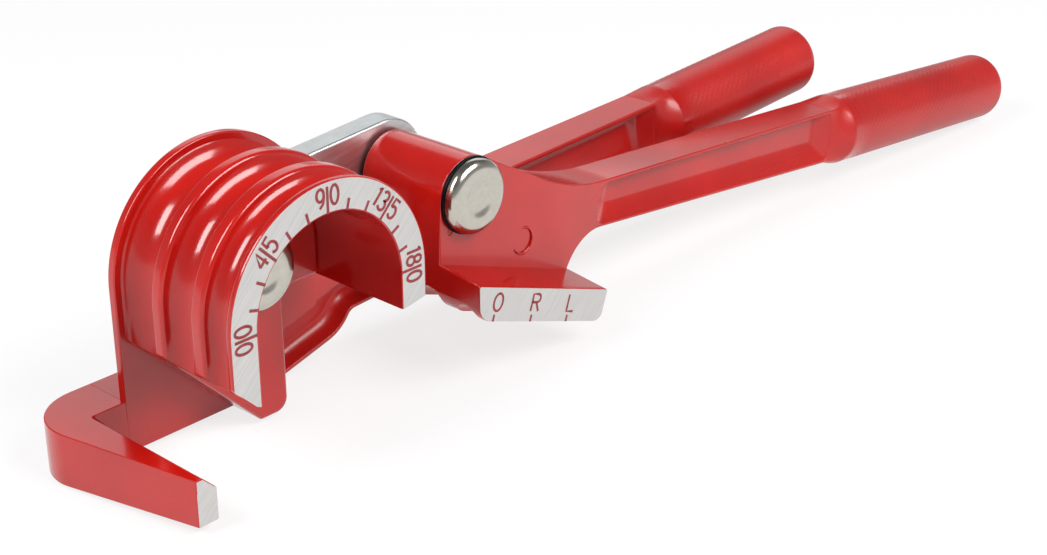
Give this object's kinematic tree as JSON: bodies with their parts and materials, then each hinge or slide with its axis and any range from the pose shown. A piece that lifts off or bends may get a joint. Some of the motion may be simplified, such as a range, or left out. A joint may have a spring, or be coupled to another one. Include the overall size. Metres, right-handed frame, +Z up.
{
  "type": "lever tube bender",
  "caption": "Hand lever tube bender with a half-round three-groove former, a hook that holds the tube, and a linked forming handle with a grooved shoe.",
  "frame": {"origin": "middle of the bounding box in plan, on the bench top that the hook and the forming grip stand on", "axes": "+X from the hook to the grips, +Y from the scale face to the back, +Z up"},
  "size_m": [0.3084, 0.0478, 0.0592],
  "materials": {
    "red_enamel_casting": "gloss",
    "zinc_plated_steel": "satin",
    "bright_steel": "polished",
    "black_oxide_steel": "satin",
    "plain_steel": "satin"
  },
  "bodies": {
    "body": {"body_casting": "red_enamel_casting", "center_pin": "bright_steel", "center_head_washer": "black_oxide_steel", "center_thrust_washer": "plain_steel", "center_back_washer": "plain_steel", "center_clip": "black_oxide_steel"},
    "link": {"link_plate": "zinc_plated_steel", "pivot_pin": "bright_steel", "pivot_head_washer": "black_oxide_steel", "pivot_thrust_washer": "plain_steel", "pivot_back_washer": "plain_steel", "pivot_clip": "black_oxide_steel"},
    "handle": {"forming_handle": "red_enamel_casting"}
  },
  "joints": [
    {"name": "link_swing", "type": "hinge", "parent": "body", "child": "link", "pos_m": [-0.11437, 0.0147, 0.03479], "axis": [0, -1, 0], "range_deg": [-2, 180]},
    {"name": "handle_swing", "type": "hinge", "parent": "link", "child": "handle", "pos_m": [-0.06606, -0.0005, 0.03905], "axis": [0, -1, 0], "range_deg": [-66.1, 90]}
  ]
}
